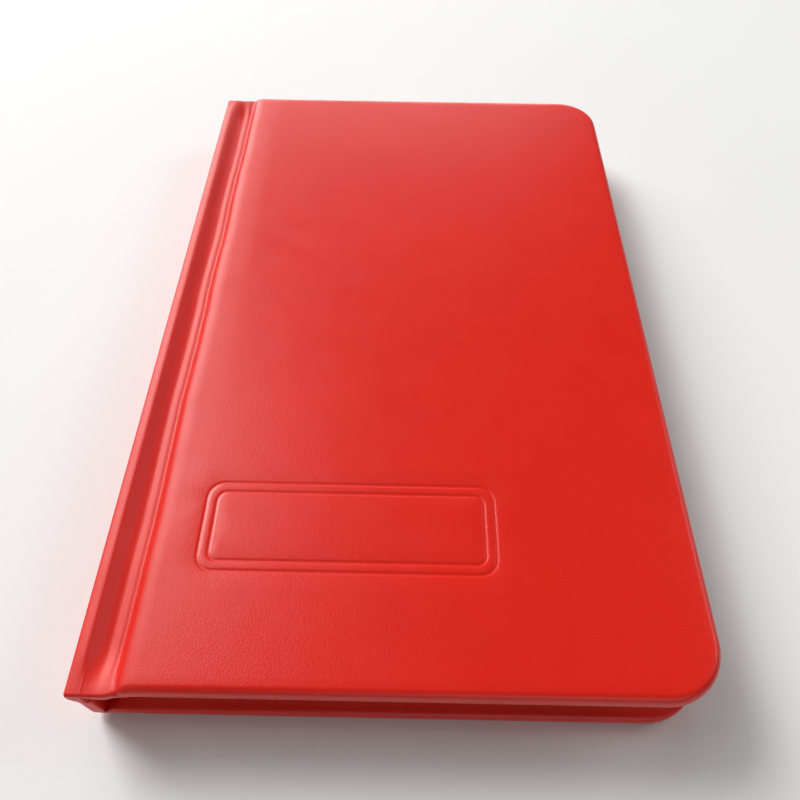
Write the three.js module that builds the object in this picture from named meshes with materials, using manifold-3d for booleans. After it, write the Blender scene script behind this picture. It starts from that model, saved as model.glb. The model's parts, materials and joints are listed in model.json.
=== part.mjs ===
// Pocket notebook: a sewn block of ruled leaves, case bound in leatherette over greyboard.
// Millimetres, closed and lying on its back cover. X runs from the spine (-X) to the fore edge (+X),
// Y from the tail (-Y) to the head (+Y), and Z from the back cover up to the front cover.
// The origin is the middle of the footprint, on the surface that the notebook lies on.

import * as THREE from "three";
import { mergeVertices } from "three/addons/utils/BufferGeometryUtils.js";
import Module from "manifold-3d";

const wasm = await Module();
wasm.setup();

// ---- Driving dimensions ------------------------------------------------------------------------

// The case
const COVER_WIDTH = 90;
const COVER_HEIGHT = 140;
const CLOSED_THICKNESS = 14;
const CORNER_RADIUS = 8.5;
const BOARD_THICKNESS = 2;
const LEATHERETTE = 0.4;
const OUTER_EDGE_RADIUS = 1.4;
const INNER_EDGE_RADIUS = 0.6;
const TURN_IN_WIDTH = 14;
const PASTEDOWN_MARGIN = 2.5;

// The spine panel and the grooves on both sides of it
const SPINE_BOARD_THICKNESS = 1.2;
const SPINE_DROP = 0.6;
const SPINE_LIP = 2.6;
const JOINT_WIDTH = 4.5;
const JOINT_SLOPE_WIDTH = 2;
const JOINT_FLOOR_RISE = 0.25;
const HINGE_OFFSET = 1.8;

// The text block
const SIGNATURE_COUNT = 12;
const SQUARE = 3;
const LEAF_CORNER_RADIUS = 6.5;
const ENDPAPER = 0.15;
const HOLLOW_BACK = 0.45;
const LINING = 0.2;
const LINING_END_MARGIN = 1;
const MULL = 0.2;
const MULL_END_MARGIN = 8;
const THREAD_DIAMETER = 0.24;
const SEWING_STATIONS = 4;
const STATION_SPACING = 30;
const BAND_DIAMETER = 1.4;

// Named clearances
const GLUE_GAP = 0.05;
const LEAF_GAP = 0.05;
const LINING_GAP = 0.1;
const JOINT_GAP = 0.12;

// Facets on round stretches
const CORNER_STEPS = 8;
const EDGE_STEPS = 4;
const ROD_SIDES = 12;
const THREAD_SIDES = 8;

// ---- Stations worked out from them -------------------------------------------------------------

// Across the notebook, from the spine's outer face
const spineFace = -COVER_WIDTH / 2;
const foreEdge = COVER_WIDTH / 2;
const spineThickness = SPINE_BOARD_THICKNESS + 2 * GLUE_GAP + 2 * LEATHERETTE;
const spineBack = spineFace + spineThickness;
const coverStart = spineBack + JOINT_WIDTH;
const liningStart = spineBack + HOLLOW_BACK;
const mullStart = liningStart + LINING + LINING_GAP;
const threadStart = mullStart + MULL + GLUE_GAP;
const foldLine = threadStart + THREAD_DIAMETER + GLUE_GAP;
const leafEnd = foreEdge - SQUARE;
const hingeLine = spineBack + HINGE_OFFSET;
const turningLeafStart = Math.max(hingeLine, foldLine) + LEAF_GAP;

// Up through the notebook, from the back cover's outer face
const coverThickness = BOARD_THICKNESS + 2 * GLUE_GAP + 2 * LEATHERETTE;
const pastedownFoot = coverThickness + GLUE_GAP;
const flyleafFoot = pastedownFoot + ENDPAPER + LEAF_GAP;
const sewnFoot = flyleafFoot + ENDPAPER + LEAF_GAP;
const sewnTop = CLOSED_THICKNESS - sewnFoot;
const signaturePitch = (sewnTop - sewnFoot + LEAF_GAP) / SIGNATURE_COUNT;

// Along the notebook
const halfHeight = COVER_HEIGHT / 2;
const leafHalfHeight = halfHeight - SQUARE;

// ---- Finishes ----------------------------------------------------------------------------------

const finish = (color, roughness) =>
  new THREE.MeshStandardMaterial({ color, roughness, metalness: 0 });
const leatherette = () => finish(0xcd2823, 0.48);
const greyboard = () => finish(0x8f8a80, 0.9);
const endpaper = () => finish(0xefe6d2, 0.85);
const ruledPaper = () => finish(0xf3ecd9, 0.88);
const kraft = () => finish(0xb08a5c, 0.85);
const gauze = () => finish(0xe9e4d6, 0.95);
const linenThread = () => finish(0xf1ead8, 0.8);
const bandCloth = () => finish(0xa8201c, 0.8);

// ---- Making solids -----------------------------------------------------------------------------

function named(name, geometry, material) {
  const mesh = new THREE.Mesh(geometry, material);
  mesh.name = name;
  return mesh;
}

function toSolid(geometry) {
  const bare = geometry.clone();
  bare.deleteAttribute("normal");
  bare.deleteAttribute("uv");
  const merged = mergeVertices(bare, 1e-4);
  const mesh = new wasm.Mesh({
    numProp: 3,
    vertProperties: new Float32Array(merged.attributes.position.array),
    triVerts: new Uint32Array(merged.index.array),
  });
  return new wasm.Manifold(mesh);
}

function toGeometry(solid) {
  const mesh = solid.getMesh();
  const geometry = new THREE.BufferGeometry();
  const positions = new THREE.BufferAttribute(mesh.vertProperties, 3);
  geometry.setAttribute("position", positions);
  geometry.setIndex(new THREE.BufferAttribute(mesh.triVerts, 1));
  geometry.computeVertexNormals();
  return geometry;
}

// A plan outline with square corners at the spine and round ones at the fore edge, anticlockwise.
function planOutline({ start, end, half, radius }, inset) {
  const left = start + inset;
  const right = end - inset;
  const top = half - inset;
  const round = Math.max(radius - inset, INNER_EDGE_RADIUS);
  const points = [[left, -top]];
  for (const [side, from] of [[-1, -Math.PI / 2], [1, 0]]) {
    for (let step = 0; step <= CORNER_STEPS; step += 1) {
      const angle = from + (step / CORNER_STEPS) * (Math.PI / 2);
      const x = right - round + round * Math.cos(angle);
      const y = side * (top - round) + round * Math.sin(angle);
      points.push([x, y]);
    }
  }
  points.push([left, top]);
  return points;
}

// A closed slab through a stack of outlines; each level gives its height and how far it is inset.
function slab(plan, levels) {
  const stack = [...levels].sort((a, b) => a.z - b.z);
  const positions = [];
  const faces = [];
  for (const { z, inset } of stack) {
    for (const [x, y] of planOutline(plan, inset)) positions.push(x, y, z);
  }
  const count = positions.length / 3 / stack.length;
  for (let level = 0; level + 1 < stack.length; level += 1) {
    for (let i = 0; i < count; i += 1) {
      const a = level * count + i;
      const b = level * count + ((i + 1) % count);
      faces.push(a, b, b + count, a, b + count, a + count);
    }
  }
  const lid = (stack.length - 1) * count;
  for (let i = 1; i + 1 < count; i += 1) {
    faces.push(0, i + 1, i, lid, lid + i, lid + i + 1);
  }
  const geometry = new THREE.BufferGeometry();
  geometry.setAttribute("position", new THREE.Float32BufferAttribute(positions, 3));
  geometry.setIndex(faces);
  geometry.computeVertexNormals();
  return geometry;
}

// Levels of a wrapped board, all round its section, drawn in from the outside by an offset.
// Heights run from the outer face of a cover to its inner face.
function coverLevels(offset) {
  const outer = Math.max(OUTER_EDGE_RADIUS - offset, GLUE_GAP);
  const inner = Math.max(INNER_EDGE_RADIUS - offset, GLUE_GAP);
  const levels = [];
  for (let step = 0; step <= EDGE_STEPS; step += 1) {
    const angle = (step / EDGE_STEPS) * (Math.PI / 2);
    const inset = offset + outer * (1 - Math.sin(angle));
    levels.push({ z: offset + outer * (1 - Math.cos(angle)), inset });
  }
  for (let step = EDGE_STEPS; step >= 0; step -= 1) {
    const angle = (step / EDGE_STEPS) * (Math.PI / 2);
    const inset = offset + inner * (1 - Math.sin(angle));
    levels.push({ z: coverThickness - offset - inner * (1 - Math.cos(angle)), inset });
  }
  return levels;
}

const flat = (foot, thickness) => [{ z: foot, inset: 0 }, { z: foot + thickness, inset: 0 }];

// The front cover is the back cover turned over: every height is taken from the top instead.
const asIs = (levels) => levels;
const fromTop = (levels) => levels.map(({ z, inset }) => ({ z: CLOSED_THICKNESS - z, inset }));

// A section drawn in X and Z, carried along Y by half a length each way.
function alongHeight(section, half, curveSegments) {
  const options = { depth: 2 * half, bevelEnabled: false, curveSegments };
  const geometry = new THREE.ExtrudeGeometry(section, options);
  geometry.rotateX(Math.PI / 2);
  geometry.translate(0, half, 0);
  return geometry;
}

function uprightRod(diameter, foot, top, sides) {
  const radius = diameter / 2;
  const geometry = new THREE.CylinderGeometry(radius, radius, top - foot, sides);
  geometry.rotateX(Math.PI / 2);
  geometry.translate(0, 0, (foot + top) / 2);
  return geometry;
}

// ---- Covers ------------------------------------------------------------------------------------

const coverPlan = { start: coverStart, end: foreEdge, half: halfHeight, radius: CORNER_RADIUS };

function coverSkin(name, turned) {
  const wrap = toSolid(slab(coverPlan, turned(coverLevels(0))));
  const pocket = toSolid(slab(coverPlan, turned(coverLevels(LEATHERETTE))));
  const windowPlan = {
    start: coverStart + LEATHERETTE,
    end: foreEdge - TURN_IN_WIDTH,
    half: halfHeight - TURN_IN_WIDTH,
    radius: INNER_EDGE_RADIUS,
  };
  const throughTurnIn = flat(coverThickness / 2, coverThickness);
  const opening = toSolid(slab(windowPlan, turned(throughTurnIn)));
  const skin = wrap.subtract(pocket).subtract(opening);
  return named(name, toGeometry(skin), leatherette());
}

function coverBoard(name, turned) {
  const levels = coverLevels(LEATHERETTE + GLUE_GAP);
  return named(name, slab(coverPlan, turned(levels)), greyboard());
}

function pastedown(name, turned) {
  const plan = {
    start: coverStart + GLUE_GAP,
    end: foreEdge - PASTEDOWN_MARGIN,
    half: halfHeight - PASTEDOWN_MARGIN,
    radius: CORNER_RADIUS - PASTEDOWN_MARGIN,
  };
  return named(name, slab(plan, turned(flat(pastedownFoot, ENDPAPER))), endpaper());
}

function cover(side, turned) {
  const group = new THREE.Group();
  group.add(coverSkin(`${side}_cover_skin`, turned));
  group.add(coverBoard(`${side}_board`, turned));
  group.add(pastedown(`${side}_pastedown`, turned));
  return group;
}

// ---- Spine panel and its two grooves -----------------------------------------------------------

const spineMiddle = spineFace + spineThickness / 2;
const spineFoot = SPINE_DROP;
const spineTop = CLOSED_THICKNESS - SPINE_DROP;

// Leatherette round the spine panel: open towards the block, with a lip over each long edge.
function spineSkin() {
  const outer = spineThickness / 2;
  const inner = outer - LEATHERETTE;
  const low = spineFoot + outer;
  const high = spineTop - outer;
  const section = new THREE.Shape();
  section.moveTo(spineBack, spineTop - SPINE_LIP);
  section.lineTo(spineBack, high);
  section.absarc(spineMiddle, high, outer, 0, Math.PI, false);
  section.lineTo(spineFace, low);
  section.absarc(spineMiddle, low, outer, Math.PI, 2 * Math.PI, false);
  section.lineTo(spineBack, spineFoot + SPINE_LIP);
  section.lineTo(spineBack - LEATHERETTE, spineFoot + SPINE_LIP);
  section.lineTo(spineBack - LEATHERETTE, low);
  section.absarc(spineMiddle, low, inner, 2 * Math.PI, Math.PI, true);
  section.lineTo(spineFace + LEATHERETTE, high);
  section.absarc(spineMiddle, high, inner, Math.PI, 0, true);
  section.lineTo(spineBack - LEATHERETTE, spineTop - SPINE_LIP);
  return named("spine_skin", alongHeight(section, halfHeight, CORNER_STEPS), leatherette());
}

function spineBoard() {
  const round = SPINE_BOARD_THICKNESS / 2;
  const low = spineFoot + spineThickness / 2;
  const high = spineTop - spineThickness / 2;
  const section = new THREE.Shape();
  section.moveTo(spineMiddle + round, low);
  section.absarc(spineMiddle, high, round, 0, Math.PI, false);
  section.absarc(spineMiddle, low, round, Math.PI, 2 * Math.PI, false);
  const half = halfHeight - LEATHERETTE - GLUE_GAP;
  return named("spine_board", alongHeight(section, half, CORNER_STEPS), greyboard());
}

// The leatherette pressed into a groove: a slope down from the spine's edge and a flat floor.
function jointSkin(name, height) {
  const start = spineBack + JOINT_GAP;
  const bend = spineBack + JOINT_SLOPE_WIDTH;
  const end = coverStart - JOINT_GAP;
  const rim = SPINE_DROP + spineThickness / 2;
  const floor = coverThickness - JOINT_FLOOR_RISE;
  const corners = [
    [start, rim],
    [bend, floor - LEATHERETTE],
    [end, floor - LEATHERETTE],
    [end, floor],
    [bend, floor],
    [start, rim + LEATHERETTE],
  ];
  const section = new THREE.Shape(corners.map(([x, z]) => new THREE.Vector2(x, height(z))));
  return named(name, alongHeight(section, halfHeight, 1), leatherette());
}

function spine() {
  const group = new THREE.Group();
  group.add(spineSkin());
  group.add(spineBoard());
  group.add(jointSkin("back_joint_skin", (z) => z));
  group.add(jointSkin("front_joint_skin", (z) => CLOSED_THICKNESS - z));
  return group;
}

// ---- Text block --------------------------------------------------------------------------------

const leafPlan = (start) => ({
  start,
  end: leafEnd,
  half: leafHalfHeight,
  radius: LEAF_CORNER_RADIUS,
});

// Signature 1 is next to the front cover. It turns over with the cover, clear of its own fold.
function signature(number) {
  const foot = sewnTop - number * signaturePitch + LEAF_GAP;
  const start = number === 1 ? turningLeafStart : foldLine;
  const name = `signature_${String(number).padStart(2, "0")}`;
  const levels = flat(foot, signaturePitch - LEAF_GAP);
  return named(name, slab(leafPlan(start), levels), ruledPaper());
}

function flyleaf(name, turned) {
  const levels = turned(flat(flyleafFoot, ENDPAPER));
  return named(name, slab(leafPlan(turningLeafStart), levels), endpaper());
}

// A thin upright strip against the back of the block.
function backStrip(name, start, thickness, half, material) {
  const section = new THREE.Shape();
  section.moveTo(start, sewnFoot);
  section.lineTo(start + thickness, sewnFoot);
  section.lineTo(start + thickness, sewnTop);
  section.lineTo(start, sewnTop);
  return named(name, alongHeight(section, half, 1), material);
}

function sewingThread(number) {
  const thread = uprightRod(THREAD_DIAMETER, sewnFoot, sewnTop, THREAD_SIDES);
  const mesh = named(`sewing_thread_${number}`, thread, linenThread());
  mesh.position.x = threadStart + THREAD_DIAMETER / 2;
  mesh.position.y = (number - (SEWING_STATIONS + 1) / 2) * STATION_SPACING;
  return mesh;
}

function endBand(name, side) {
  const rod = uprightRod(BAND_DIAMETER, sewnFoot, sewnTop, ROD_SIDES);
  const mesh = named(name, rod, bandCloth());
  mesh.position.x = foldLine + BAND_DIAMETER / 2;
  mesh.position.y = side * (leafHalfHeight + LINING_GAP + BAND_DIAMETER / 2);
  return mesh;
}

function block() {
  const group = new THREE.Group();
  for (let number = 1; number <= SIGNATURE_COUNT; number += 1) group.add(signature(number));
  group.add(flyleaf("front_flyleaf", fromTop));
  group.add(flyleaf("back_flyleaf", asIs));
  for (let number = 1; number <= SEWING_STATIONS; number += 1) group.add(sewingThread(number));
  const mullHalf = leafHalfHeight - MULL_END_MARGIN;
  group.add(backStrip("spine_mull", mullStart, MULL, mullHalf, gauze()));
  const liningHalf = leafHalfHeight - LINING_END_MARGIN;
  group.add(backStrip("spine_lining", liningStart, LINING, liningHalf, kraft()));
  group.add(endBand("head_band", 1));
  group.add(endBand("tail_band", -1));
  return group;
}

// ---- The notebook ------------------------------------------------------------------------------

const notebook = new THREE.Group();
notebook.add(cover("back", asIs));
notebook.add(block());
notebook.add(spine());
notebook.add(cover("front", fromTop));

export default notebook;
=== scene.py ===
# %% [markdown]
# # A pocket notebook, bound in boards
# A case binding is two parts that are made apart. The block is folded sheets sewn through their folds.
# The case is two boards and a spine strip, all glued under one piece of leatherette. This lesson dresses
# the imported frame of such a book: each moving part keeps its place, and gets its real surface.

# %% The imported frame
import json
import math
import random
import bmesh
import bpy
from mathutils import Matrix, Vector, geometry, noise

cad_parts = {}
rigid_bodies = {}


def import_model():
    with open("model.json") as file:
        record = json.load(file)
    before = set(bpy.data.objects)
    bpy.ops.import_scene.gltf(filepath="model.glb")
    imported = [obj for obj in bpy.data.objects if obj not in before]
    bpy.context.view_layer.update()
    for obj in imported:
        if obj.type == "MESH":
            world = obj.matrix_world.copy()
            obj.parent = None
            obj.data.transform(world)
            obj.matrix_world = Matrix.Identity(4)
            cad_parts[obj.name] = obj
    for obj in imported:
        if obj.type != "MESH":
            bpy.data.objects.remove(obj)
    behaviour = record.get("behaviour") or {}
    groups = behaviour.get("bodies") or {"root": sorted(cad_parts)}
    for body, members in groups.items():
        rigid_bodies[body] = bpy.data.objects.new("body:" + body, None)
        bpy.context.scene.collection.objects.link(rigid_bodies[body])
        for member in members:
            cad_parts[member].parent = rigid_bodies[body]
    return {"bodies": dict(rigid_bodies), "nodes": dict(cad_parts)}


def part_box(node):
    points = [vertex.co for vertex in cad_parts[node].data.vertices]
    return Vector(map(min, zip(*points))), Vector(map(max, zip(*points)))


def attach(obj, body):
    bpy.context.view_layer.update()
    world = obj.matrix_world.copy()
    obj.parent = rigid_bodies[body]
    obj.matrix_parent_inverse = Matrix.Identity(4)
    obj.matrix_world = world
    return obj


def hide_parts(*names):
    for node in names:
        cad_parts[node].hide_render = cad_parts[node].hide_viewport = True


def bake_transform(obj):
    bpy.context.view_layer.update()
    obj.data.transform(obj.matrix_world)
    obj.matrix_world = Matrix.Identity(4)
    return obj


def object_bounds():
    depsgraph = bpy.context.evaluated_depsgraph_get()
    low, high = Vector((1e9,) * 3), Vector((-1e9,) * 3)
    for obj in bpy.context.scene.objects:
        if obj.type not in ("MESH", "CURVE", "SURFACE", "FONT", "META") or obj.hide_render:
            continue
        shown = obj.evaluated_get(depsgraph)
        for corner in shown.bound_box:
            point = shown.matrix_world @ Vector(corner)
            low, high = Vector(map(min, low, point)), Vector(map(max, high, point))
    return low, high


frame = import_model()
cad_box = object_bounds()

# %% [markdown]
# ## Measures
# A binder measures across from the spine, up and down from the middle of the page, and upwards from the
# table. place() turns those three, in millimetres, into the frame's metres, so every number below reads
# as on the bench. The outside sizes and the places of the inner pieces come from the frame itself.

# %% Places in millimetres
MM = 0.001
SPINE_FACE = cad_box[0][0]
HALF_HEIGHT = cad_box[1][1] / MM
WIDTH = (cad_box[1][0] - cad_box[0][0]) / MM
CLOSED = cad_box[1][2] / MM


def place(across, along, up):
    """A point given from the spine face, the middle of the height and the table."""
    return Vector((SPINE_FACE + across * MM, along * MM, up * MM))


def extent(node):
    """A frame node's low and high corner in bench millimetres."""
    low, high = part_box(node)
    corners = []
    for corner in (low, high):
        corners.append(((corner.x - SPINE_FACE) / MM, corner.y / MM, corner.z / MM))
    return corners


print("book:", round(WIDTH, 2), "x", round(2 * HALF_HEIGHT, 2), "x", round(CLOSED, 2), "mm")

# %% [markdown]
# ## Collecting a mesh
# A folded sheet or a covered board is a list of points and a list of faces that join them. Shape keeps
# both while a piece is built, and piece() turns them into one object. Face directions are worked out at
# the end, because a closed mesh knows its own outside. Every point also remembers where it was with the
# book shut, so that a grain stays put when a hinge bends it.


# %% A shape that grows
class Shape:
    """Points and faces collected before they become one piece."""

    def __init__(self):
        self.points = []
        self.faces = []
        self.kinds = []

    def point(self, across, along, up):
        self.points.append(place(across, along, up))
        return len(self.points) - 1

    def face(self, corners, kind=0):
        if len(set(corners)) > 2:
            self.faces.append(list(dict.fromkeys(corners)))
            self.kinds.append(kind)

    def net(self, lines, kind=0, closed=False):
        """Quads between neighbouring lines of points."""
        for one, two in zip(lines, lines[1:]):
            count = len(one) if closed else len(one) - 1
            for i in range(count):
                j = (i + 1) % len(one)
                self.face([one[i], two[i], two[j], one[j]], kind)

    def piece(self, name, finishes):
        mesh = bpy.data.meshes.new(name)
        mesh.from_pydata(self.points, [], self.faces)
        mesh.polygons.foreach_set("material_index", self.kinds)
        for finish in finishes:
            mesh.materials.append(finish)
        work = bmesh.new()
        work.from_mesh(mesh)
        bmesh.ops.recalc_face_normals(work, faces=work.faces)
        work.to_mesh(mesh)
        work.free()
        mesh.shade_smooth()
        rest = mesh.attributes.new("rest_place", "FLOAT_VECTOR", "POINT")
        rest.data.foreach_set("vector", [value for spot in self.points for value in spot])
        made = bpy.data.objects.new(name, mesh)
        bpy.context.scene.collection.objects.link(made)
        print(name, len(mesh.vertices), "points", len(mesh.polygons), "faces")
        return made


# %% [markdown]
# ## Writing a finish as a sum
# A procedural finish is arithmetic on positions: a line is where a distance is small, a weave is two
# waves. Wire holds one socket of the node tree, so that such arithmetic can be written as plain Python.
# Each operator adds the Math node it stands for, and node() adds any other node, settings first.


# %% One socket that can be calculated with
class Wire:
    """An output socket in a finish's node tree."""

    def __init__(self, tree, socket=None):
        self.tree = tree
        self.socket = socket

    def node(self, kind, settings=None, sockets=None, out=0):
        """Any node, from its type, its settings and its sockets. out is the socket to go on with."""
        made = self.tree.nodes.new("ShaderNode" + kind)
        for name, value in (settings or {}).items():
            setattr(made, name, value)
        for key, value in (sockets or {}).items():
            if isinstance(value, Wire):
                self.tree.links.new(value.socket, made.inputs[key])
            else:
                made.inputs[key].default_value = value
        return Wire(self.tree, made.outputs[out] if len(made.outputs) else None)

    def sum(self, operation, first, second=0.0, clamp=False):
        """A Math node."""
        settings = {"operation": operation, "use_clamp": clamp}
        return self.node("Math", settings, {0: first, 1: second})

    def __add__(self, other):
        return self.sum("ADD", self, other)

    def __radd__(self, other):
        return self.sum("ADD", other, self)

    def __sub__(self, other):
        return self.sum("SUBTRACT", self, other)

    def __rsub__(self, other):
        return self.sum("SUBTRACT", other, self)

    def __mul__(self, other):
        return self.sum("MULTIPLY", self, other)

    def __rmul__(self, other):
        return self.sum("MULTIPLY", other, self)

    def __truediv__(self, other):
        return self.sum("DIVIDE", self, other)

    def __mod__(self, other):
        return self.sum("FLOORED_MODULO", self, other)

    def __abs__(self):
        return self.sum("ABSOLUTE", self)

    def clamped(self):
        """The same value, kept between 0 and 1."""
        return self.sum("ADD", self, 0.0, True)

    def tint(self, first, second):
        """A colour between two, this value being the share of the second."""
        return self.node("Mix", {"data_type": "RGBA"}, {0: self, 6: first, 7: second}, 2)


# %% Starting and ending a finish
def start_finish(name):
    """A new material, given as the Wire that its nodes hang on."""
    material = bpy.data.materials.new(name)
    material.use_nodes = True
    material.node_tree.nodes.clear()
    return material, Wire(material.node_tree)


def close_finish(bench, height=None, depth=0.00003, strength=1.0, **sockets):
    """Adds the bump, the surface and the output, with the sockets by their names."""
    plugs = {}
    for key, value in sockets.items():
        plugs[key.replace("_", " ")] = value
    if height is not None:
        bump = {"Height": height, "Distance": depth, "Strength": strength}
        plugs["Normal"] = bench.node("Bump", None, bump)
    surface = bench.node("BsdfPrincipled", None, plugs)
    bench.node("OutputMaterial", None, {"Surface": surface})


def speckle(bench, where, size, detail=2.0, stretch=(1, 1, 1), rough=0.5):
    """Soft random grey between 0 and 1 whose blotches are about this many millimetres."""
    scaled = bench.node("VectorMath", {"operation": "MULTIPLY"}, {0: where, 1: stretch})
    sockets = {"Vector": scaled, "Scale": 1 / (size * MM), "Detail": detail, "Roughness": rough}
    return bench.node("TexNoise", None, sockets)


# %% [markdown]
# ## Leatherette
# The cover is paper or cotton coated with soft red plastic, and rolled while warm against a grained
# cylinder. It isn't leather, so its grain is even: small pebbles of under half a millimetre with fine
# creases between them. A Voronoi texture gives such cells, and a little noise bends its straight borders.
# The coat is satin. Its shine changes a little from place to place, where hands and boxes have rubbed it,
# and it is duller along the spine and the groove, where the sheet is creased and handled most.

# %% The red leatherette
leatherette, bench = start_finish("leatherette")
skin_place = bench.node("Attribute", {"attribute_name": "rest_place"}, None, "Vector")
bend = bench.node("TexNoise", None, {"Vector": skin_place, "Scale": 1500.0, "Detail": 1.0}, "Color")
stir = {0: bend, 1: (0.00022, 0.00022, 0.00022), 2: skin_place}
bent_place = bench.node("VectorMath", {"operation": "MULTIPLY_ADD"}, stir)
pebbles = bench.node(
    "TexVoronoi",
    {"feature": "DISTANCE_TO_EDGE"},
    {"Vector": bent_place, "Scale": 2300.0},
)
pebble = (pebbles * 5.0).clamped()
pores = speckle(bench, skin_place, 0.16, 2.0)
blotches = speckle(bench, skin_place, 14.0, 3.0)
rubbing = speckle(bench, skin_place, 5.0, 4.0)
deep_red = (0.70, 0.0100, 0.0030, 1)
bright_red = (0.785, 0.0145, 0.0040, 1)
tone = (blotches * 0.9 + pebble * 0.3 - 0.15).clamped()
red = tone.tint(deep_red, bright_red)
from_spine = (bench.node("SeparateXYZ", None, {0: skin_place}, "X") - SPINE_FACE) / MM
CREASED_TO = 14.4
FADE_OVER = 6.0
creased = (CREASED_TO / FADE_OVER - from_spine / FADE_OVER).clamped()
shine = 0.30 + rubbing * 0.08 - pebble * 0.03 + creased * 0.16
close_finish(
    bench,
    height=pebble * 0.8 + pores * 0.25,
    depth=0.000022,
    strength=0.45,
    Base_Color=red,
    Roughness=shine,
    IOR=1.5,
    Specular_IOR_Level=0.5,
)

# %% [markdown]
# ## Papers, boards and threads
# Paper is a felt of short fibres, so it never has one even tone: fine noise gives the fibres and wide
# noise the cloud. The pages carry printed writing lines. Their distance along the page repeats, so one
# remainder draws them all. The cut edge of a block of paper shows every leaf as a hair line, which is
# noise squeezed in the upward direction.

# %% Page paper with writing lines
LINE_PITCH = 6.5
ruled_paper, bench = start_finish("ruled_paper")
page_place = bench.node("TexCoord", None, None, "Object")
page_axes = bench.node("SeparateXYZ", None, {0: page_place}, "Y")
fibres = speckle(bench, page_place, 0.35, 5.0)
cloud = speckle(bench, page_place, 9.0, 2.0)
off_line = abs(page_axes / MM % LINE_PITCH - LINE_PITCH / 2)
ink = (1.6 - off_line * 10).clamped()
in_text = ((58.5 - abs(page_axes / MM + 2.0)) * 4.0).clamped()
paper = (fibres * 0.6 + cloud * 0.4).tint((0.80, 0.755, 0.63, 1), (0.90, 0.865, 0.76, 1))
INK_STRENGTH = 0.62
inked = (ink * in_text * INK_STRENGTH).tint(paper, (0.33, 0.40, 0.50, 1))
close_finish(bench, height=fibres, depth=0.000012, strength=0.4, Base_Color=inked, Roughness=0.82)

# %% Cut page edges
page_edges, bench = start_finish("page_edges")
edge_place = bench.node("TexCoord", None, None, "Object")
leaf_lines = speckle(bench, edge_place, 0.09, 2.0, (0.04, 0.04, 1.0))
guillotine = speckle(bench, edge_place, 1.4, 3.0, (1.0, 1.0, 0.25))
edge_tone = (leaf_lines * 0.75 + guillotine * 0.35 - 0.05).clamped()
edge_colour = edge_tone.tint((0.60, 0.55, 0.43, 1), (0.89, 0.85, 0.74, 1))
close_finish(
    bench,
    height=leaf_lines,
    depth=0.00004,
    strength=0.6,
    Base_Color=edge_colour,
    Roughness=0.88,
)

# %% Endpaper
endpaper, bench = start_finish("endpaper")
end_place = bench.node("Attribute", {"attribute_name": "rest_place"}, None, "Vector")
felt = speckle(bench, end_place, 0.5, 5.0)
long_fibres = speckle(bench, end_place, 0.9, 3.0, (0.35, 1.0, 1.0))
end_tone = (felt * 0.55 + long_fibres * 0.55 - 0.05).clamped()
end_colour = end_tone.tint((0.74, 0.705, 0.61, 1), (0.87, 0.84, 0.75, 1))
close_finish(bench, height=felt, depth=0.00002, strength=0.5, Base_Color=end_colour, Roughness=0.78)

# %% Greyboard
greyboard, bench = start_finish("greyboard")
board_place = bench.node("TexCoord", None, None, "Object")
pulp = speckle(bench, board_place, 0.7, 6.0)
flecks = speckle(bench, board_place, 0.25, 1.0)
fleck = ((flecks - 0.66) * 9.0).clamped()
pulp_colour = pulp.tint((0.20, 0.185, 0.165, 1), (0.37, 0.345, 0.31, 1))
board_colour = fleck.tint(pulp_colour, (0.10, 0.09, 0.08, 1))
close_finish(bench, height=pulp, depth=0.00006, strength=0.6, Base_Color=board_colour, Roughness=0.9)

# %% Kraft lining
kraft_lining, bench = start_finish("kraft_lining")
lining_place = bench.node("TexCoord", None, None, "Object")
laid = speckle(bench, lining_place, 0.4, 5.0, (1.0, 0.25, 1.0))
kraft_colour = laid.tint((0.26, 0.165, 0.09, 1), (0.45, 0.31, 0.19, 1))
close_finish(bench, height=laid, depth=0.00003, strength=0.6, Base_Color=kraft_colour, Roughness=0.8)

# %% Gauze, with holes between its threads
mull_gauze, bench = start_finish("mull_gauze")
gauze_place = bench.node("TexCoord", None, None, "Object")
THREAD_PITCH = 0.9
crossing = []
for axis in ("Y", "Z"):
    along_thread = bench.node("SeparateXYZ", None, {0: gauze_place}, axis)
    off_thread = abs(along_thread / MM % THREAD_PITCH - THREAD_PITCH / 2)
    crossing.append((2.4 - off_thread * 10).clamped())
weave = crossing[0].sum("MAXIMUM", crossing[0], crossing[1])
slub = speckle(bench, gauze_place, 0.5, 3.0)
gauze_colour = slub.tint((0.62, 0.58, 0.47, 1), (0.82, 0.79, 0.69, 1))
close_finish(
    bench,
    height=weave,
    depth=0.00008,
    strength=0.7,
    Base_Color=gauze_colour,
    Roughness=0.9,
    Alpha=(0.12 + weave).clamped(),
)

# %% Linen thread
sewing_thread, bench = start_finish("sewing_thread")
thread_place = bench.node("TexCoord", None, None, "Object")
lint = speckle(bench, thread_place, 0.12, 3.0, (1.0, 1.0, 0.3))
linen = lint.tint((0.66, 0.62, 0.52, 1), (0.86, 0.83, 0.74, 1))
close_finish(bench, height=lint, depth=0.00002, strength=0.6, Base_Color=linen, Roughness=0.7)

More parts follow.
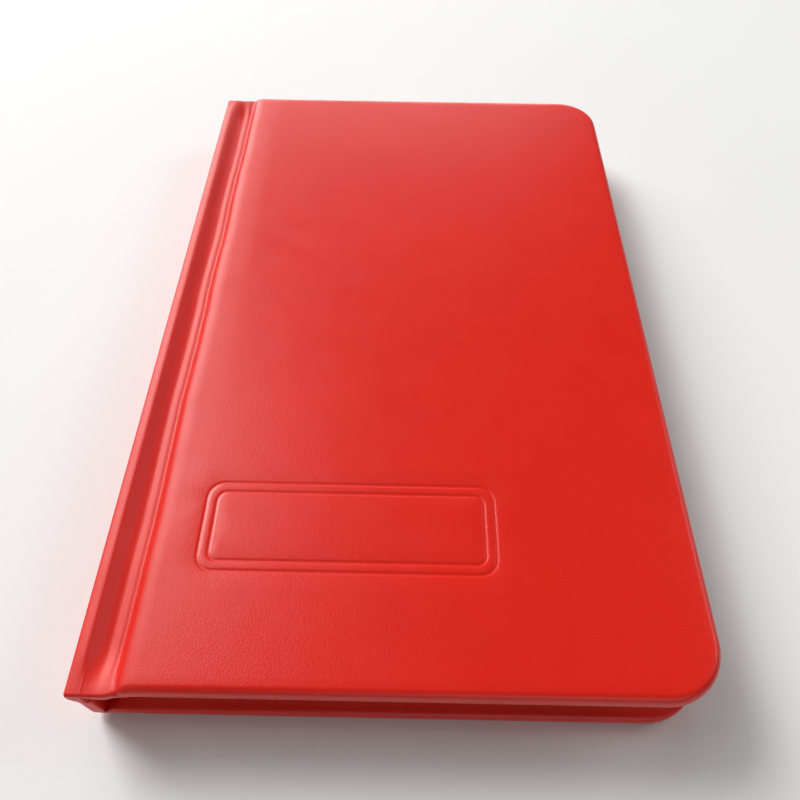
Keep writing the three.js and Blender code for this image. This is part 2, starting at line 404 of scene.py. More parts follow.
# %% The striped end band
RIB = 0.42
STRIPE = 3 * RIB
end_band, bench = start_finish("end_band")
band_place = bench.node("TexCoord", None, None, "Object")
band_up = bench.node("SeparateXYZ", None, {0: band_place}, "Z") / MM
stripe = ((abs(band_up % (2 * STRIPE) - STRIPE) - STRIPE / 2) * 12.0 + 0.5).clamped()
fuzz = speckle(bench, band_place, 0.15, 3.0, (1.0, 1.0, 3.0))
red_thread = fuzz.tint((0.33, 0.010, 0.008, 1), (0.58, 0.025, 0.020, 1))
white_thread = fuzz.tint((0.66, 0.62, 0.52, 1), (0.86, 0.83, 0.74, 1))
band_colour = stripe.tint(red_thread, white_thread)
close_finish(bench, height=fuzz, depth=0.00003, strength=0.6, Base_Color=band_colour, Roughness=0.62)
print("finishes:", [material.name for material in bpy.data.materials])

# %% [markdown]
# ## The cover's cross-section
# Seen from the tail, the leatherette goes under the spine, up its face, over a round ridge and down into
# the groove. There it is glued to nothing but itself, and that is the hinge. A hot bar has pressed it
# into place and left a crease. Then it climbs the edge of the board. Each station below is a point
# outside and the point inside it. The distance between them is the thickness there: a whole board, or
# just the leatherette folded double.


# %% Stations across the spine and the groove
def arc(centre, radius, start, stop, steps):
    """Points on part of a circle in the cross-section."""
    spots = []
    for step in range(steps + 1):
        angle = math.radians(start + (stop - start) * step / steps)
        spots.append((centre[0] + radius * math.cos(angle), centre[1] + radius * math.sin(angle)))
    return spots


def flowing(knots, steps):
    """A smooth line through the knots, several steps between each two."""
    first = (2 * knots[0][0] - knots[1][0], 2 * knots[0][1] - knots[1][1])
    last = (2 * knots[-1][0] - knots[-2][0], 2 * knots[-1][1] - knots[-2][1])
    held = [first] + list(knots) + [last]
    line = []
    for a, b, c, d in zip(held, held[1:], held[2:], held[3:]):
        for step in range(steps):
            t = step / steps
            spot = []
            for k in (0, 1):
                bow = 2 * a[k] - 5 * b[k] + 4 * c[k] - d[k]
                turn = 3 * b[k] - a[k] - 3 * c[k] + d[k]
                spot.append(0.5 * (2 * b[k] + (c[k] - a[k]) * t + bow * t * t + turn * t**3))
            line.append(tuple(spot))
    line.append(knots[-1])
    return line


COVER_THICK = 2.9
UNDERSIDE = CLOSED - COVER_THICK
FLAT_FROM = 10.2
DOUBLE_SKIN = 0.75
SPINE_INSIDE = 2.1

ridge_knots = [
    (0.0, CLOSED - 2.0),
    (0.02, CLOSED - 1.45),
    (0.14, CLOSED - 1.08),
    (0.45, CLOSED - 0.86),
    (0.95, CLOSED - 0.74),
    (1.45, CLOSED - 0.66),
    (1.88, CLOSED - 0.68),
]
groove_knots = [
    (2.25, CLOSED - 0.88),
    (2.8, CLOSED - 1.32),
    (3.4, CLOSED - 1.80),
    (4.0, CLOSED - 2.12),
    (4.5, CLOSED - 2.22),
    (4.95, CLOSED - 2.15),
    (5.35, CLOSED - 2.05),
    (5.7, CLOSED - 2.04),
    (6.1, CLOSED - 2.07),
    (6.4, CLOSED - 1.99),
    (6.63, CLOSED - 1.77),
    (6.85, CLOSED - 1.40),
    (7.12, CLOSED - 0.97),
    (7.5, CLOSED - 0.54),
    (8.1, CLOSED - 0.25),
    (8.8, CLOSED - 0.09),
    (9.5, CLOSED - 0.02),
    (FLAT_FROM, CLOSED),
]


def inside_of(line):
    """The inner point of each groove station: one double skin below, then the board's underside."""
    inner = []
    for i, spot in enumerate(line):
        back = line[max(i - 1, 0)]
        ahead = line[min(i + 1, len(line) - 1)]
        run = math.hypot(ahead[0] - back[0], ahead[1] - back[1])
        down = ((ahead[1] - back[1]) / run, -(ahead[0] - back[0]) / run)
        share = min(max((spot[0] - 3.8) / 1.6, 0), 1)
        below = (spot[0] + down[0] * DOUBLE_SKIN, spot[1] + down[1] * DOUBLE_SKIN)
        under = 5.4 + (FLAT_FROM - 5.4) * i / (len(line) - 1)
        under = min(spot[0], under) if spot[0] < 6.6 else under
        inner_up = max(below[1], UNDERSIDE)
        inner.append((below[0] * (1 - share) + under * share, inner_up * (1 - share) + UNDERSIDE * share))
    return inner


ridge = flowing(ridge_knots + groove_knots[:1], 3)[:-1]
groove = flowing(groove_knots, 3)
groove_inside = inside_of(groove)
foot = [(SPINE_INSIDE, 1.7), (SPINE_INSIDE, 1.15), (1.98, 0.8)]
foot += [(across, CLOSED - up) for across, up in reversed(ridge)]
face = [(0.0, up) for up in (3.0, 5.0, CLOSED / 2, CLOSED - 5.0, CLOSED - 3.0)]
spine_line = foot + face + ridge
INSIDE_FROM = 2.5
INSIDE_TO = CLOSED - 2.0
spine_inside = []
for i in range(len(spine_line)):
    share = i / (len(spine_line) - 1)
    spine_inside.append((SPINE_INSIDE, INSIDE_FROM + (INSIDE_TO - INSIDE_FROM) * share))

front_stations = list(zip(spine_line + groove, spine_inside + groove_inside))
tuck = [(0.9, CLOSED - 1.25), (1.35, CLOSED - 0.85), (1.80, CLOSED - 0.65)]
tuck_inside = [(0.9, CLOSED - 1.9), (1.35, CLOSED - 1.8), (1.8, CLOSED - 1.7)]
back_stations = list(zip(tuck + groove, tuck_inside + groove_inside))
print("stations:", len(front_stations), "round the front,", len(back_stations), "at the back")

# %% [markdown]
# ## Wrapping the edges
# At the head, the tail and the fore edge the leatherette folds round the board and is glued down inside.
# A hard square edge would look sawn, so every edge is a ring of points that rolls over from outside to
# inside. The roll is as wide as the thickness lets it be: wide on a board, small where only skin is
# folded on skin. The groove also wanders a little, because it is pressed by hand and heat and not cut.


# %% The rolled edge and the small unevenness
def roll(across, thickness):
    """(depth in from the edge, share of the way inside) of each ring round an edge."""
    board = min(max((across - 6.4) / 2.2, 0), 1)
    deep = 0.45 + 0.85 * board
    drop = min(0.45 + 0.85 * board, 0.5 * thickness)
    inner = min(0.75, 0.3 * thickness)
    rings = [(deep + 1.1, 0.0)]
    for step in range(8):
        angle = math.radians(90 * step / 7)
        rings.append((deep * (1 - math.sin(angle)), drop * (1 - math.cos(angle)) / thickness))
    for step in range(5):
        angle = math.radians(90 * step / 4)
        level = thickness - inner + inner * math.sin(angle)
        rings.append((inner * (1 - math.cos(angle)), level / thickness))
    rings.append((inner + 0.9, 1.0))
    return rings


def wander(along, size, seed):
    """A smooth seeded number between about -1 and 1 that changes over this many millimetres."""
    return 2 * noise.noise(Vector((along / size, seed * 3.7, seed * 1.3)))


def ease(value):
    """0 below 0, 1 above 1, and a soft S between."""
    value = min(max(value, 0), 1)
    return value * value * (3 - 2 * value)


SIDE_WANDER = 0.12
RISE_WANDER = 0.05
END_LEVEL = 0.98
END_RUN = 6.0


def pressed(spot, along, seed):
    """A station's place at this height: the groove wanders, and is shallow at the head and tail."""
    across, up = spot
    weight = math.sin(math.pi * min(max((across - 2.2) / (FLAT_FROM - 2.2), 0), 1)) ** 0.7
    sideways = SIDE_WANDER * wander(along, 13.0, seed) + 0.04 * wander(along, 4.0, seed + 5)
    upwards = RISE_WANDER * wander(along, 8.0, seed + 9)
    across += weight * sideways
    up += weight * upwards
    at_end = ease((abs(along) - HALF_HEIGHT + END_RUN) / END_RUN)
    level = CLOSED - END_LEVEL
    if (spot[0] > 2.2) == (up < level):
        up += (level - up) * 0.92 * at_end * ease((8.0 - across) / 1.6)
    return across, up


TAIL_LIP = 0.4


def overhang(spot):
    """How far the unsupported skin of the spine and groove hangs past the boards at the tail."""
    across, up = spot
    return TAIL_LIP * ease((7.4 - across) / 2.2) * ease((up - 7.5) / 4.5)


def swell(across, along, seed):
    """How far a glued board's surface is off flat: a few hundredths of a millimetre."""
    rim = min(WIDTH - across, across - FLAT_FROM, HALF_HEIGHT - abs(along)) / 8
    spot = Vector((across / 33, along / 33, seed))
    return 0.06 * noise.noise(spot) * min(max(rim, 0), 1)


# %% The outline of the flat part
CORNER = 8.5
EDGE_STEP = 3.0


def cover_outline():
    """(across, along) with the direction inwards, from the groove round the fore edge and back."""
    nodes = []
    steps = round((WIDTH - CORNER - FLAT_FROM) / EDGE_STEP)
    for step in range(1, steps):
        across = FLAT_FROM + (WIDTH - CORNER - FLAT_FROM) * step / steps
        nodes.append((across, -HALF_HEIGHT, 0.0, 1.0))
    for step in range(13):
        angle = math.radians(-90 + 90 * step / 12)
        inwards = (-math.cos(angle), -math.sin(angle))
        across = WIDTH - CORNER - CORNER * inwards[0]
        along = -HALF_HEIGHT + CORNER - CORNER * inwards[1]
        nodes.append((across, along, inwards[0], inwards[1]))
    steps = round((HALF_HEIGHT - CORNER) / EDGE_STEP)
    for step in range(1, steps):
        along = (-HALF_HEIGHT + CORNER) * (1 - step / steps)
        nodes.append((WIDTH, along, -1.0, 0.0))
    nodes.append((WIDTH, 0.0, -1.0, 0.0))
    for across, along, in_x, in_y in reversed(nodes[:-1]):
        nodes.append((across, -along, in_x, -in_y))
    return nodes


# %% [markdown]
# ## Filling the flat of the board
# The flat of the cover meets a wavy groove on one side and a rolled edge on three, and carries the
# pressed panel. A Delaunay fill joins any set of points inside an outline into good triangles, and keeps
# the lines it is given. So the outline, the pressed lines and a loose scatter of points become one
# surface with no seams.


# %% A fill that keeps its lines
def scatter(spacing, keep_off):
    """Points in a staggered grid over the flat, away from its rim and from the given points."""
    spots = []
    rows = int(2 * HALF_HEIGHT / spacing)
    for row in range(rows):
        for column in range(int(WIDTH / spacing) + 1):
            across = FLAT_FROM + (column + 0.5 * (row % 2)) * spacing
            along = -HALF_HEIGHT + (row + 0.5) * spacing
            rim_x = WIDTH - 4.2 - across
            rim_y = HALF_HEIGHT - 4.2 - abs(along)
            in_corner = math.hypot(min(rim_x - CORNER, 0), min(rim_y - CORNER, 0)) > CORNER
            crowded = min(rim_x, rim_y, across - FLAT_FROM - 1.5) < 0 or in_corner
            if not crowded and not any(math.hypot(across - a, along - b) < 1.6 for a, b in keep_off):
                spots.append((across, along))
    return spots


def fill_flat(shape, rim, rim_spots, loops, loose, height):
    """Triangles inside the rim. Loops are closed lines of (across, along, sink)."""
    flat = [Vector(spot) for spot in rim_spots]
    sinks = [0.0] * len(flat)
    edges = [(i, (i + 1) % len(flat)) for i in range(len(flat))]
    for loop in loops:
        first = len(flat)
        for i, (across, along, sink) in enumerate(loop):
            flat.append(Vector((across, along)))
            sinks.append(sink)
            edges.append((first + i, first + (i + 1) % len(loop)))
    for across, along in loose:
        flat.append(Vector((across, along)))
        sinks.append(0.0)
    spots, _, faces, sources, _, _ = geometry.delaunay_2d_cdt(flat, edges, [], 1, 1e-5)
    number = []
    for spot, source in zip(spots, sources):
        own = source[0] if source else len(rim)
        if own < len(rim):
            number.append(rim[own])
        else:
            number.append(shape.point(spot[0], spot[1], height(spot[0], spot[1], sinks[own])))
    for corners in faces:
        shape.face([number[i] for i in corners])


# %% [markdown]
# ## The pressed panel
# Such covers are stamped blind: a warm brass die sinks a design into the board without foil or ink. This
# one is a plain panel of two rules with round corners, low on the front, where a stamp usually sits. The
# rules are real hollows of a tenth of a millimetre with soft shoulders, so light finds them from any
# side.


# %% Two rules with round corners
def rule(centre, half_width, half_height, radius):
    """One pressed line as seven closed loops, from shoulder to shoulder."""
    hollow = [(-0.5, 0.0), (-0.3, 0.025), (-0.15, 0.08), (0.0, 0.1), (0.15, 0.08), (0.3, 0.025), (0.5, 0.0)]
    loops = []
    for offset, sink in hollow:
        loop = []
        corners = [(1, 1, 0), (-1, 1, 90), (-1, -1, 180), (1, -1, 270)]
        for sign_x, sign_y, turn in corners:
            middle_x = centre[0] + sign_x * (half_width - radius)
            middle_y = centre[1] + sign_y * (half_height - radius)
            for step in range(8):
                angle = math.radians(turn + 90 * step / 7)
                reach = radius + offset
                spot = (middle_x + reach * math.cos(angle), middle_y + reach * math.sin(angle))
                loop.append((spot[0], spot[1], sink))
        divided = []
        for one, two in zip(loop, loop[1:] + loop[:1]):
            parts = max(1, round(math.hypot(two[0] - one[0], two[1] - one[1]) / 1.5))
            for part in range(parts):
                t = part / parts
                divided.append((one[0] + (two[0] - one[0]) * t, one[1] + (two[1] - one[1]) * t, sink))
        loops.append(divided)
    return loops


PANEL_MIDDLE = (37.0, -45.5)
panel = rule(PANEL_MIDDLE, 22.4, 7.3, 2.6) + rule(PANEL_MIDDLE, 20.8, 5.7, 1.5)
print("panel:", sum(len(loop) for loop in panel), "points in", len(panel), "loops")


# %% [markdown]
# ## One sheet over everything
# The real case is covered with a single sheet, so no seam runs down the groove. That could be a plane
# pushed about with modifiers, but a cover's thickness jumps from a folded skin to a whole board within
# two millimetres. So cover_half() lays rows of points along the groove, outside and inside, and closes
# them with rolled edges. The flat part is then filled in from that outline. Every row runs along them.


# %% Rows along the spine and groove, with their rolled ends
ROWS = 95


def rows_and_ends(add, stations, seed, hangs):
    """Rows of points outside and inside each station, and a rolled ring at either end of each."""
    outside, inside, tails, heads = [], [], [], []
    for outer, inner in stations:

        def between(along, share):
            across, up = pressed(outer, along, seed)
            return across + (inner[0] - across) * share, up + (inner[1] - up) * share

        at_head = pressed(outer, HALF_HEIGHT, seed)
        rings = roll(outer[0], math.hypot(inner[0] - at_head[0], inner[1] - at_head[1]))
        lip = overhang(outer) if hangs else 0.0
        for side, share, depth in ((outside, 0.0, rings[0][0]), (inside, 1.0, rings[-1][0])):
            tail, head = -HALF_HEIGHT - lip + depth, HALF_HEIGHT - depth
            line = []
            for row in range(ROWS):
                along = tail + (head - tail) * row / (ROWS - 1)
                across, up = between(along, share)
                line.append(add(across, along, up))
            side.append(line)
        for end, store, row in ((-1, tails, 0), (1, heads, -1)):
            ring = [outside[-1][row]]
            for depth, share in rings[1:-1]:
                along = end * (HALF_HEIGHT - depth) - (lip if end < 0 else 0)
                across, up = between(along, share)
                ring.append(add(across, along, up))
            ring.append(inside[-1][row])
            store.append(ring)
    return outside, inside, tails, heads


# %% The rolled rim of the flat
def flat_rim(add, first, last):
    """The rings round the flat, from the tail end of the groove to its head end."""
    rim_rings = [first]
    rings = roll(WIDTH, COVER_THICK)
    for across, along, in_x, in_y in cover_outline():
        ring = []
        for depth, share in rings:
            ring.append(add(across + in_x * depth, along + in_y * depth, CLOSED - share * COVER_THICK))
        rim_rings.append(ring)
    rim_rings.append(last)
    return rim_rings


# %% One covered half of the case
def cover_half(name, stations, seed, lines=(), upside_down=False):
    """The skin from the spine to the fore edge: rows along the groove, rolled edges, filled flats."""
    shape = Shape()

    def seen_from_table(up):
        return CLOSED - up if upside_down else up

    def add(across, along, up):
        return shape.point(across, along, seen_from_table(up))

    def outer_height(across, along, sink):
        return seen_from_table(CLOSED + swell(across, along, seed) - sink)

    def inner_height(across, along, sink):
        return seen_from_table(UNDERSIDE)

    outside, inside, tails, heads = rows_and_ends(add, stations, seed, not upside_down)
    rim_rings = flat_rim(add, tails[-1], heads[-1])
    for lines_of_points in (outside, inside, tails, heads, rim_rings, [outside[0], inside[0]]):
        shape.net(lines_of_points)
    shape.face(tails[0])
    shape.face(heads[0])
    for line, ring_end, loops, spacing, height in (
        (outside[-1], 0, lines, 2.6, outer_height),
        (inside[-1], -1, (), 14.0, inner_height),
    ):
        rim = line + [ring[ring_end] for ring in reversed(rim_rings[1:-1])]
        rim_spots = []
        for number in rim:
            spot = shape.points[number]
            rim_spots.append(((spot.x - SPINE_FACE) / MM, spot.y / MM))
        keep_off = [(a, b) for loop in loops for a, b, _ in loop[::2]]
        fill_flat(shape, rim, rim_spots, loops, scatter(spacing, keep_off), height)
    return shape.piece(name, [leatherette])


# %% The two halves of the case
case_front = cover_half("case_front", front_stations, 1, panel)
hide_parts("front_cover_skin", "front_joint_skin", "spine_skin")
place(2.1, 0, 12)
place(6.6, 0, 12)
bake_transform(case_front)
case_back = cover_half("case_back", back_stations, 4, (), True)
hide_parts("back_cover_skin", "back_joint_skin")
place(5.6, 0, 2)
place(2.2, 0, 2)
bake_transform(case_back)

# %% [markdown]
# ## Sheets of paper
# A leaf is so thin that only its edge shows, but it must have one: a face without thickness throws no
# edge light. bend_sheet() sweeps a thin slab along any line in the cross-section: straight for an
# endpaper, or round a fold for a sheet of the block. The two fore corners are cut round with the same
# tool that cuts the cover.


# %% A thin slab along a line
def reach_to(start, stop, corner):
    """Stations across a leaf, closer together in the gutter and round the corner."""
    spots = [start]
    for across in (4.2, 4.8, 5.4, 6.0, 6.8, 7.6, 8.4, 9.2, 10.0, 12.0, 25.0, 45.0, 65.0):
        if start + 0.2 < across < stop - corner - 0.2:
            spots.append(across)
    for step in range(8):
        spots.append(stop - corner + corner * math.sin(math.radians(90 * step / 7)))
    return spots


def half_reach(across, stop, half, corner):
    """Half the leaf's height at this distance across."""
    into = max(across - (stop - corner), 0)
    return half - corner + math.sqrt(max(corner * corner - into * into, 0))


def bend_sheet(shape, line, thick, stop, half, corner, rows, shift=0.0, sink=None):
    """Adds a slab that follows the line of (across, up), with cut edges as the second finish."""
    upper, lower = [], []
    for i, spot in enumerate(line):
        back = line[max(i - 1, 0)]
        ahead = line[min(i + 1, len(line) - 1)]
        run = math.hypot(ahead[0] - back[0], ahead[1] - back[1])
        side = (-(ahead[1] - back[1]) / run, (ahead[0] - back[0]) / run)
        half_here = half_reach(spot[0], stop, half, corner)
        for store, sign in ((upper, 0.5), (lower, -0.5)):
            row_points = []
            for row in rows:
                along = row * half_here
                lift = sink(spot[0], along) if sink else 0.0
                across = spot[0] + side[0] * thick * sign
                up = spot[1] + side[1] * thick * sign + lift
                row_points.append(shape.point(across, along + shift, up))
            store.append(row_points)
    shape.net(upper)
    shape.net(lower)
    for edge in (0, -1):
        shape.net([[points[edge] for points in upper], [points[edge] for points in lower]], 1)
        shape.net([upper[edge], lower[edge]], 1)


def even(count):
    """Evenly spaced shares from -1 to 1."""
    return [2 * i / (count - 1) - 1 for i in range(count)]


# %% [markdown]
# ## Pastedowns and flyleaves
# One folded sheet at each end holds the block in the case. Its outer half is pasted to the board and its
# inner half is free. Paste shrinks the paper down on the board, so the edge of the leatherette beneath
# shows as a low step. That step is real here: the sheet sinks by a tenth of a millimetre inside the line
# where the turned-in skin ends.

# %% Pastedowns with the turned-in edge showing
TURN_IN = 14.0
LEAF_CORNER = 6.5
STEP_DEPTH = 0.1


def sunk_by_turn_in(across, along):
    """The share of the step at this place: 0 over the turned-in skin, 1 over bare board."""
    inside = min(WIDTH - TURN_IN - across, HALF_HEIGHT - TURN_IN - abs(along))
    gutter = min(max((across - 7.5) / 1.2, 0), 1)
    t = min(max(inside / 0.9 + 0.5, 0), 1) * gutter
    return t * t * (3 - 2 * t)


paste_half = extent("front_pastedown")[1][1]
step_at = (HALF_HEIGHT - TURN_IN) / paste_half
step_rows = [-1.0, -0.93]
step_rows += [-step_at - 0.012, -step_at - 0.006, -step_at, -step_at + 0.006, -step_at + 0.012]
step_rows += [-0.6, -0.3]
step_rows += [0.0] + [-row for row in reversed(step_rows)]


def pastedown(name, node, away):
    """The pasted half of an endpaper. away is 1 where its board lies above it, and -1 below."""
    low, high = extent(node)
    thick = high[2] - low[2]
    middle = (low[2] + high[2]) / 2
    stop = high[0]
    start = 3.0
    stations = reach_to(start, stop, LEAF_CORNER)
    for extra in (7.2, 8.0, 8.8, 75.0, 75.6, 76.0, 76.4, 77.0):
        stations.append(extra)
    line = [(across, middle) for across in sorted(stations)]
    shape = Shape()

    def sink(across, along):
        return STEP_DEPTH * away * sunk_by_turn_in(across, along)

    bend_sheet(shape, line, thick, stop, high[1], LEAF_CORNER, step_rows, 0.0, sink)
    return shape.piece(name, [endpaper, endpaper])


front_paste = pastedown("front_pastedown_sheet", "front_pastedown", 1)
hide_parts("front_pastedown")
place(2.1, 0, 12)
place(6.6, 0, 12)
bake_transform(front_paste)
back_paste = pastedown("back_pastedown_sheet", "back_pastedown", -1)
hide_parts("back_pastedown")
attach(back_paste, "back_cover")


# %% Flyleaves
def flyleaf(name, node):
    """The free half of an endpaper, which hides its frame node."""
    low, high = extent(node)
    stations = reach_to(low[0], high[0], LEAF_CORNER)
    line = [(across, (low[2] + high[2]) / 2) for across in stations]
    shape = Shape()
    bend_sheet(shape, line, high[2] - low[2], high[0], high[1], LEAF_CORNER, even(9))
    made = shape.piece(name, [endpaper, endpaper])
    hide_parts(node)
    return made


front_fly = flyleaf("front_flyleaf_sheet", "front_flyleaf")
place(3.6, 0, 11)
place(9.0, 0, 11)
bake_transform(front_fly)
back_fly = flyleaf("back_flyleaf_sheet", "back_flyleaf")
place(3.6, 0, 3)
place(9.0, 0, 3)
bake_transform(back_fly)

# %% [markdown]
# ## The block
# Twelve signatures lie on each other, and each is four sheets folded together: eight leaves, sixteen
# pages. A fold can't be sharp. Each sheet goes round the ones inside it, which is why a signature has a
# round back. The sheets are made one by one, nested, and each is a few hundredths short or long, as they
# leave the guillotine.

# %% Twelve sewn signatures
SHEETS = 4
PAPER_SHARE = 0.78
jitter = random.Random(11)


def folded_sheet(shape, low, high, number, pitch):
    """One sheet: a leaf, the fold and the leaf below it."""
    top = high[2] - (number + 0.5) * pitch
    bottom = low[2] + (number + 0.5) * pitch
    radius = (top - bottom) / 2
    middle = (top + bottom) / 2
    hub = low[0] + pitch * 0.4 + (high[2] - low[2]) / 2 - 0.5 * pitch
    stop = high[0] - jitter.uniform(0.0, 0.10)
    leaf = reach_to(hub + 0.3, stop, LEAF_CORNER)
    line = [(across, top) for across in reversed(leaf)]
    line += arc((hub, middle), radius, 90, 270, 6)
    line += [(across, bottom) for across in leaf]
    shift = jitter.uniform(-0.05, 0.05)
    bend_sheet(shape, line, pitch * PAPER_SHARE, stop, high[1] - 0.05, LEAF_CORNER, even(7), shift)


signatures = sorted(node for node in frame["nodes"] if node.startswith("signature_"))
for node in signatures:
    low, high = extent(node)
    shape = Shape()
    for number in range(SHEETS):
        folded_sheet(shape, low, high, number, (high[2] - low[2]) / (2 * SHEETS))
    made = shape.piece(node + "_sheets", [ruled_paper, page_edges])
    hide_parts(node)
    if node == "signature_01":
        place(3.7, 0, 10)
        place(10.0, 0, 10)
        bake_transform(made)
    else:
        body = node if node in frame["bodies"] else "block"
        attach(made, body)

# %% [markdown]
# ## End bands and sewing
# The little striped roll at each end of the spine is cotton wound on a cord. It hides the folds and takes
# the pull of a finger. Its windings are ribs, so the tube's radius goes up and down once for each. The
# sewing thread is two strands laid round each other, which a plain rod would never show.


# %% Ribbed end bands
def end_roll(name, node):
    """A domed tube with a rib for each winding."""
    low, high = extent(node)
    radius = (high[1] - low[1]) / 2
    centre = ((low[0] + high[0]) / 2, (low[1] + high[1]) / 2)
    shape = Shape()
    rings = []
    count = round((high[2] - low[2]) / RIB) * 6
    for ring in range(count + 1):
        share = ring / count
        up = low[2] + (high[2] - low[2]) * share
        rib = abs(math.sin(math.pi * ring / 6))
        closing = min(share, 1 - share) * (high[2] - low[2]) / 0.5
        dome = math.sqrt(max(0.0, 1 - max(0.0, 1 - closing) ** 2))
        size = (radius - 0.11 * (1 - rib)) * max(dome, 0.02)
        points = []
        for step in range(18):
            angle = 2 * math.pi * step / 18
            slant = 0.08 * math.sin(angle)
            inside = min(max(up + slant, low[2]), high[2])
            spot = (centre[0] + size * math.cos(angle), centre[1] + size * math.sin(angle))
            points.append(shape.point(spot[0], spot[1], inside))
        rings.append(points)
    shape.net(rings, 0, True)
    shape.face(rings[0])
    shape.face(rings[-1])
    made = shape.piece(name, [end_band])
    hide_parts(node)
    return made


for end in ("head", "tail"):
    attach(end_roll(end + "_band_roll", end + "_band"), "block")


# %% Two-ply sewing thread
PLY_TURN = 0.7


def laid_thread(name, node):
    """Two strands laid round each other, one full turn in each PLY_TURN millimetres."""
    low, high = extent(node)
    centre = ((low[0] + high[0]) / 2, (low[1] + high[1]) / 2)
    radius = (high[0] - low[0]) / 4
    shape = Shape()
    for strand in (0, math.pi):
        rings = []
        count = 120
        for ring in range(count + 1):
            up = low[2] + (high[2] - low[2]) * ring / count
            turn = strand + 2 * math.pi * (up - low[2]) / PLY_TURN
            middle = (centre[0] + radius * math.cos(turn), centre[1] + radius * math.sin(turn))
            points = []
            for step in range(8):
                angle = 2 * math.pi * step / 8
                spot = (middle[0] + radius * math.cos(angle), middle[1] + radius * math.sin(angle))
                points.append(shape.point(spot[0], spot[1], up))
            rings.append(points)
        shape.net(rings, 0, True)
        shape.face(rings[0])
        shape.face(rings[-1])
    made = shape.piece(name, [sewing_thread])
    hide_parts(node)
    return made


for number in range(1, 5):
    thread = laid_thread(f"sewing_thread_{number}_ply", f"sewing_thread_{number}")
    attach(thread, "block")

# %% [markdown]
# ## Boards
# Greyboard is cut with square edges, but skin pulled tight over it and a hot press leave its edges
# crushed. So each board is a slab whose rim is rounded in four steps, a little inside the skin that hides
# it. It shows only if the cover is cut open, yet it gives the cover its stiffness and its weight.


# %% Boards with crushed edges
def pressed_board(name, node, spine_side, corner, crush):
    """A board whose rim is crushed round, set back from the skin at the spine side and all round."""
    low, high = extent(node)
    left = low[0] + spine_side
    right = high[0] - 0.3
    half = high[1] - 0.3
    shape = Shape()
    rings = []
    for angle in range(-90, 91, 30):
        depth = crush * (1 - math.cos(math.radians(angle)))
        thick = high[2] - low[2] - 0.04
        up = (low[2] + high[2]) / 2 + thick / 2 * math.sin(math.radians(angle))
        ring = []
        for sign_x, sign_y, turn in ((1, 1, 0), (-1, 1, 90), (-1, -1, 180), (1, -1, 270)):
            radius = (corner if sign_x > 0 else 0.6) - depth * 0.5
            side = right - depth if sign_x > 0 else left + depth
            for step in range(7):
                bow = math.radians(turn + 15 * step)
                across = side - sign_x * radius + radius * math.cos(bow)
                along = sign_y * (half - depth - radius) + radius * math.sin(bow)
                ring.append(shape.point(across, along, up))
        rings.append(ring)
    shape.net(rings, 0, True)
    shape.face(rings[0])
    shape.face(rings[-1])
    made = shape.piece(name, [greyboard])
    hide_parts(node)
    return made


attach(pressed_board("front_board_crushed", "front_board", 0.75, 7.6, 0.7), "front_cover")
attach(pressed_board("back_board_crushed", "back_board", 0.75, 7.6, 0.7), "back_cover")

# %% [markdown]
# ## Pieces that keep their frame shape
# The spine board, the kraft lining and the gauze are flat cut strips, and the frame already has their
# exact shape. They only need their surface, so each one's material slot is filled with the finish made
# for it.

# %% Finishes for the carried-over pieces
carried = {
    "spine_board": greyboard,
    "spine_lining": kraft_lining,
    "spine_mull": mull_gauze,
}
for node, finish in carried.items():
    part = frame["nodes"][node]
    part.data.materials.clear()
    part.data.materials.append(finish)
print("carried over:", sorted(carried))

# %% [markdown]
# ## Table and light
# A pale table keeps the eye on the book. It is one wide sheet with a faint unevenness in its tone. Satin
# plastic is told by its glare. A window stands behind the head of the book to the left, with its sill
# below. Pale walls beyond the head and on both sides are mirrored faintly in the cover, as in a white
# room. All of them are far away next to the book's size, so the glare fades slowly and the tail edge lies
# in shade.

# %% The table
table_finish, bench = start_finish("table")
table_place = bench.node("TexCoord", None, None, "Object")
table_cloud = speckle(bench, table_place, 60.0, 4.0)
table_grain = speckle(bench, table_place, 0.8, 2.0)
table_colour = table_cloud.tint((0.86, 0.86, 0.86, 1), (0.90, 0.90, 0.895, 1))
close_finish(bench, height=table_grain, depth=0.00002, strength=0.3, Base_Color=table_colour, Roughness=0.75)
sheet = bpy.data.meshes.new("table_top")
TABLE_REACH = 2.5
table_corners = []
for side_x, side_y in ((-1, -1), (1, -1), (1, 1), (-1, 1)):
    table_corners.append((side_x * TABLE_REACH, side_y * TABLE_REACH, 0))
sheet.from_pydata(table_corners, [], [(0, 1, 2, 3)])
sheet.materials.append(table_finish)
table_top = bpy.data.objects.new("table_top", sheet)
table_top.location.z = -0.1 * MM
bpy.context.scene.collection.objects.link(table_top)


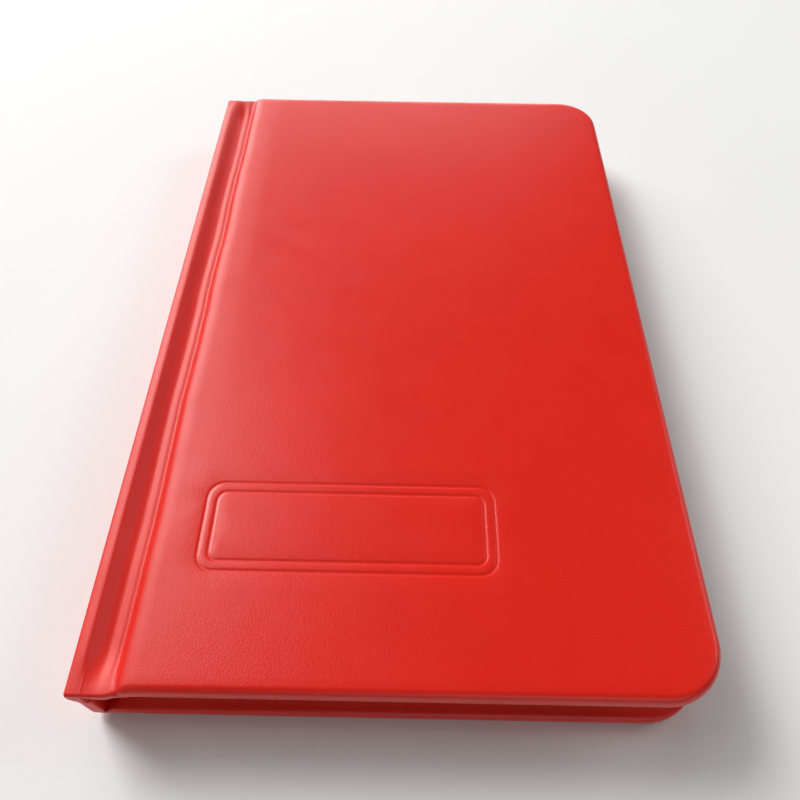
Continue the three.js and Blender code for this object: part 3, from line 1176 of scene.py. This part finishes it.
# %% Lights and surround
def soft_light(name, where, aim, width, height, brightness, colour):
    """A rectangular light of this radiance, facing its aim."""
    lamp = bpy.data.lights.new(name, "AREA")
    lamp.shape = "RECTANGLE"
    lamp.size = width
    lamp.size_y = height
    lamp.energy = brightness * math.pi * width * height
    lamp.color = colour
    stand = bpy.data.objects.new(name, lamp)
    stand.location = where
    stand.rotation_euler = (Vector(aim) - Vector(where)).to_track_quat("-Z", "Y").to_euler()
    bpy.context.scene.collection.objects.link(stand)


def from_compass(turn, climb, distance):
    """A place seen from the book: degrees left of the head, degrees up, metres away."""
    turn = math.radians(turn)
    climb = math.radians(climb)
    level = distance * math.cos(climb)
    return (-level * math.sin(turn), level * math.cos(turn), distance * math.sin(climb))


WHITE = (1.0, 0.995, 0.98)
soft_light("window", from_compass(50, 44, 2.4), (0, 0, 0), 1.0, 0.70, 14.0, WHITE)
soft_light("window_sill", from_compass(44, 27, 2.4), (0, 0, 0), 1.3, 0.62, 9.0, WHITE)
soft_light("far_wall", from_compass(10, 10, 2.6), (0, 0, 0), 2.2, 0.85, 7.0, WHITE)
soft_light("side_wall", from_compass(62, 61, 2.4), (0, 0, 0), 1.2, 0.68, 2.5, WHITE)
soft_light("right_wall", from_compass(-70, 34, 2.4), (0, 0, 0), 1.3, 0.9, 2.6, WHITE)
soft_light("fill", from_compass(200, 30, 2.4), (0, 0, 0), 2.0, 1.2, 0.9, WHITE)
surround = bpy.data.worlds.new("surround")
surround.use_nodes = True
surround.node_tree.nodes["Background"].inputs["Color"].default_value = (0.97, 0.98, 1.0, 1)
surround.node_tree.nodes["Background"].inputs["Strength"].default_value = 0.12
bpy.context.scene.world = surround
bpy.context.scene.view_settings.view_transform = "Standard"

# %% [markdown]
# ## The camera
# The book is looked at from above its tail, close by, with a wide lens. So the tail looks larger than the
# head, and the sides run together upwards. The camera stands a hand's width above the table.

# %% Camera
lens = bpy.data.cameras.new("camera")
lens.sensor_width = 36.0
lens.lens = 31.59
lens.clip_start = 0.005
camera = bpy.data.objects.new("camera", lens)
camera.location = (-0.00013, -0.09159, 0.11276)
camera.rotation_euler = (math.radians(35.36), math.radians(-0.434), math.radians(0.99))
bpy.context.scene.collection.objects.link(camera)
bpy.context.scene.camera = camera
print("camera:", round(camera.location.z / MM), "mm above the table, lens", lens.lens)
